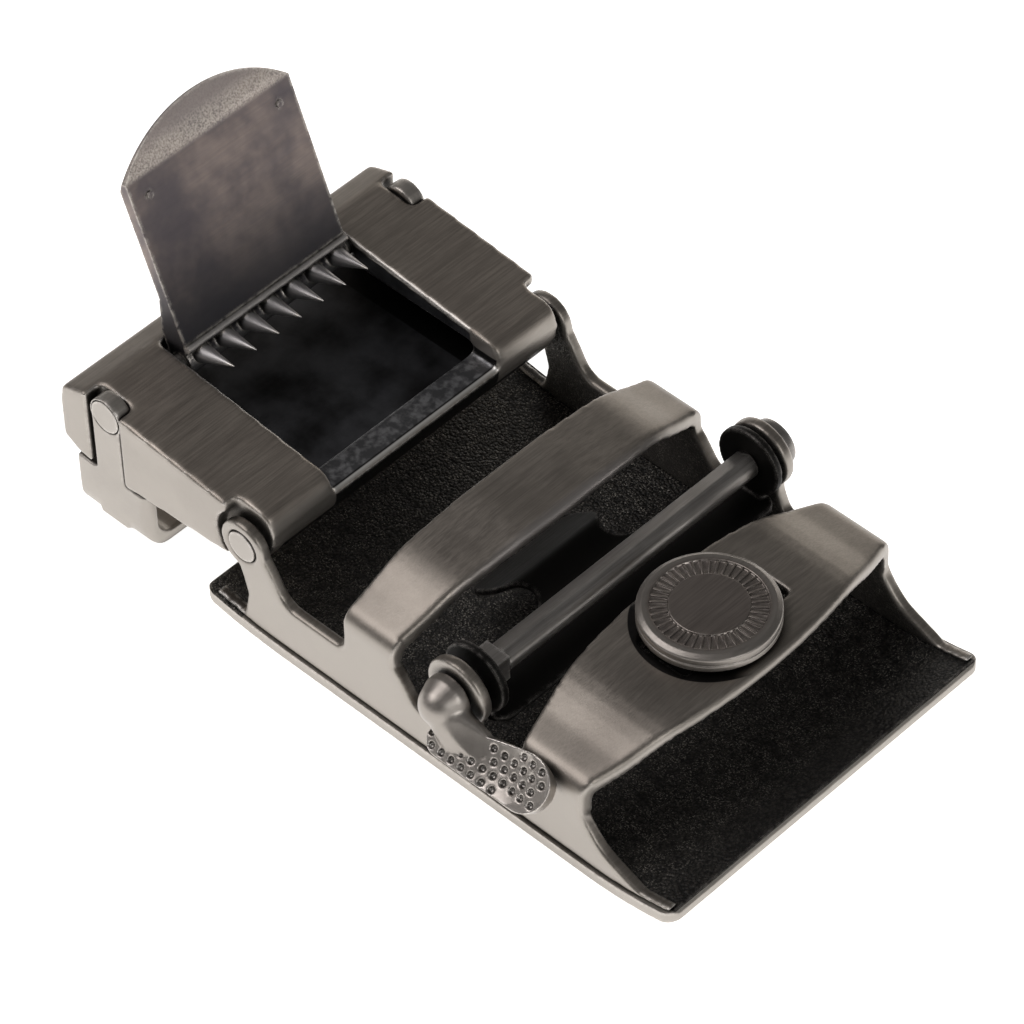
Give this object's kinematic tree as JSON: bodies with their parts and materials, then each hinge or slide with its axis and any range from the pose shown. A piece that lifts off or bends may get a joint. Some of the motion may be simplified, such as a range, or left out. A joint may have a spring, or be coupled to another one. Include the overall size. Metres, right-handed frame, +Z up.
{
  "type": "ratchet belt buckle",
  "caption": "Flat automatic belt buckle face down, with an open toothed strap clamp, two bridges, a ribbed button and a sprung pawl with a thumb lever.",
  "frame": {"origin": "centre of the face plate's flat underside", "axes": "+X along the strap, from the clamp to the plate's free end; +Z up, out of the mechanism; +Y across the strap, away from the thumb lever"},
  "size_m": [0.0763, 0.0449, 0.0365],
  "materials": {
    "plate": "pebbled black inside, satin rim",
    "frame": "gunmetal plating, brushed across the strap",
    "cap": "gunmetal plating with a worn bright rim",
    "shaft": "turned gunmetal, long scratches",
    "pawl": "black oxide with bright worn cheeks",
    "lever": "polished gunmetal",
    "cover": "gunmetal plating, brushed across the strap",
    "base": "satin gunmetal",
    "flap": "gunmetal plating, grainy near the round top",
    "pins": "bright worn heads"
  },
  "bodies": {
    "frame": {"face_plate": "plate", "back_frame": "frame", "button_cap": "cap", "ear_pin_near": "pins", "ear_pin_far": "pins"},
    "clamp": {"clamp_cover": "cover", "clamp_base": "base", "jaw_pin_near": "pins", "jaw_pin_far": "pins"},
    "jaw": {"jaw_flap": "flap"},
    "pawl": {"pawl_shaft": "shaft", "pawl_plate": "pawl", "thumb_lever": "lever"}
  },
  "joints": [
    {"name": "clamp_hinge", "type": "hinge", "parent": "frame", "child": "clamp", "pos_m": [-0.023, 0, 0.0107], "axis": [0, 1, 0], "range_deg": [-30, 75]},
    {"name": "jaw_hinge", "type": "hinge", "parent": "clamp", "child": "jaw", "pos_m": [-0.0404, 0, 0.0145], "axis": [0, 1, 0], "range_deg": [0, 110]},
    {"name": "pawl_hinge", "type": "hinge", "parent": "frame", "child": "pawl", "pos_m": [0.0031, 0, 0.01145], "axis": [0, 1, 0], "range_deg": [0, 15], "stiffness_Nm_per_rad": 0.02, "springref_deg": -17.19}
  ]
}
